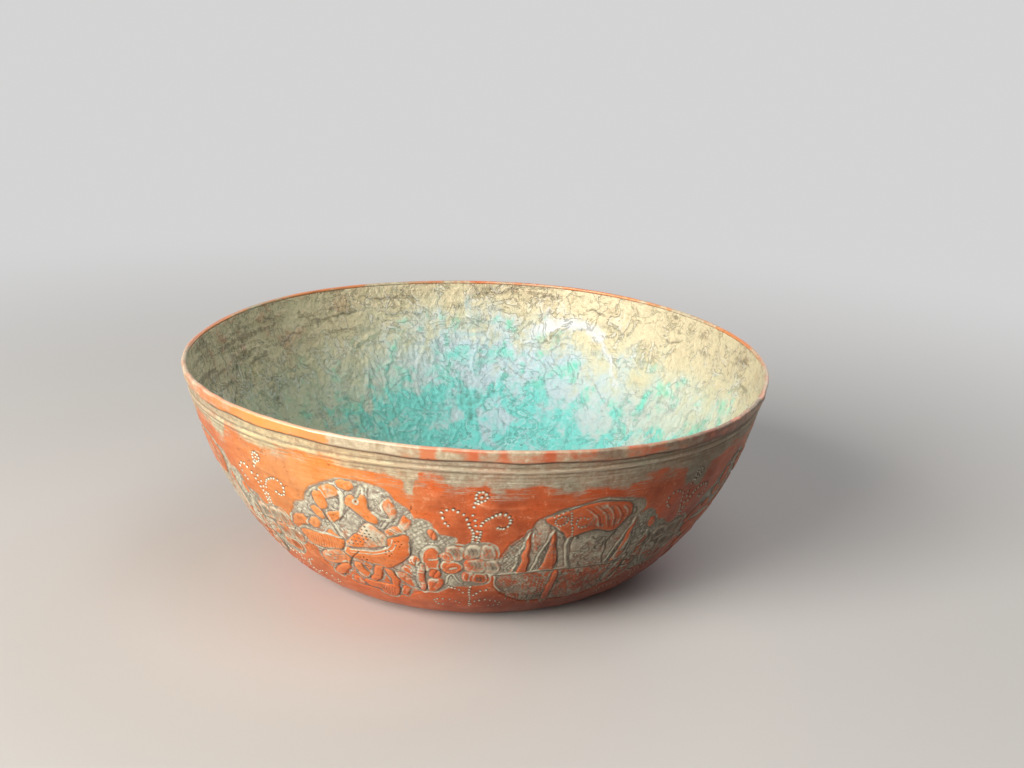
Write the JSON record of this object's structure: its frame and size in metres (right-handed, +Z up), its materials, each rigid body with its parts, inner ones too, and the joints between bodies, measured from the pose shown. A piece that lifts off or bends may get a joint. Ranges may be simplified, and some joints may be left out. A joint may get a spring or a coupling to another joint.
{
  "type": "copper bowl",
  "caption": "Round raised copper bowl with a flat foot, a flaring wall, a folded copper rim strip and a tinned inside.",
  "frame": {"origin": "centre of the foot, on the surface that the bowl stands on", "axes": "+Z up out of the mouth; the pictured side faces -Y"},
  "size_m": [0.2172, 0.221, 0.0809],
  "materials": {
    "copper_sheet": "worn bare copper, orange to red-brown, with grey tin left in the chased ground",
    "copper_rim": "worn copper with patches of old tin along the edge",
    "tin": "dull wiped tin, cream to olive, with turquoise verdigris low down"
  },
  "bodies": {
    "root": {"bowl_shell": "copper_sheet", "rim_band": "copper_rim", "tin_lining": "tin"}
  },
  "joints": []
}
